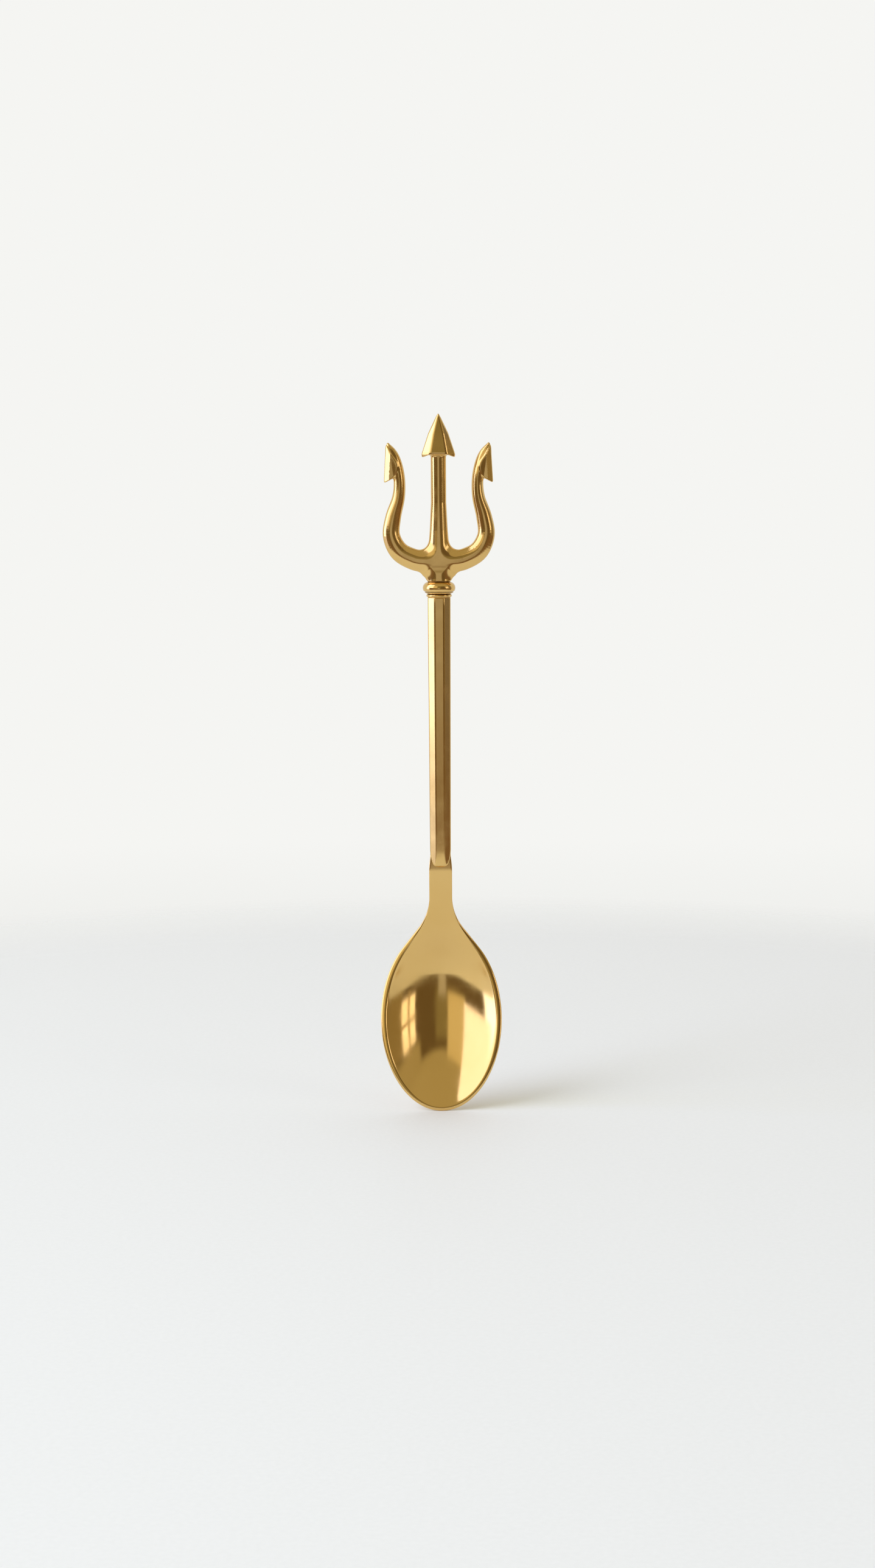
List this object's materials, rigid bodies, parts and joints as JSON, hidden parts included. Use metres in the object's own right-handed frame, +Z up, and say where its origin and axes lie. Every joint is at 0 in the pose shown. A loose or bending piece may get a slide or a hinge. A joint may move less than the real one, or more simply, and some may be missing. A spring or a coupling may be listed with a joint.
{
  "type": "bar spoon",
  "caption": "Brass bar spoon: oval bowl on a flat tongue, eight-sided shaft, turned ring and bead, and a cast trident finial.",
  "frame": {"origin": "the tip of the bowl, in the middle of its rim's edge", "axes": "+Z up the shaft from the bowl's tip to the trident, -Y out of the bowl's hollow, +X to the viewer's right"},
  "size_m": [0.0312, 0.0156, 0.178],
  "materials": {
    "pressed_brass": "mirror polish inside the bowl, fine swirl marks, bright rim",
    "drawn_brass": "polished flats with faint lengthwise draw lines and softened edges",
    "turned_brass": "polished, with fine turning lines and dark tarnish in the groove",
    "cast_brass": "hand-polished casting, soft edges, slight waviness, tarnish in the corners"
  },
  "bodies": {
    "root": {"bowl": "pressed_brass", "shaft": "drawn_brass", "ring": "turned_brass", "bead": "turned_brass", "finial": "cast_brass", "stud": "turned_brass"}
  },
  "joints": []
}
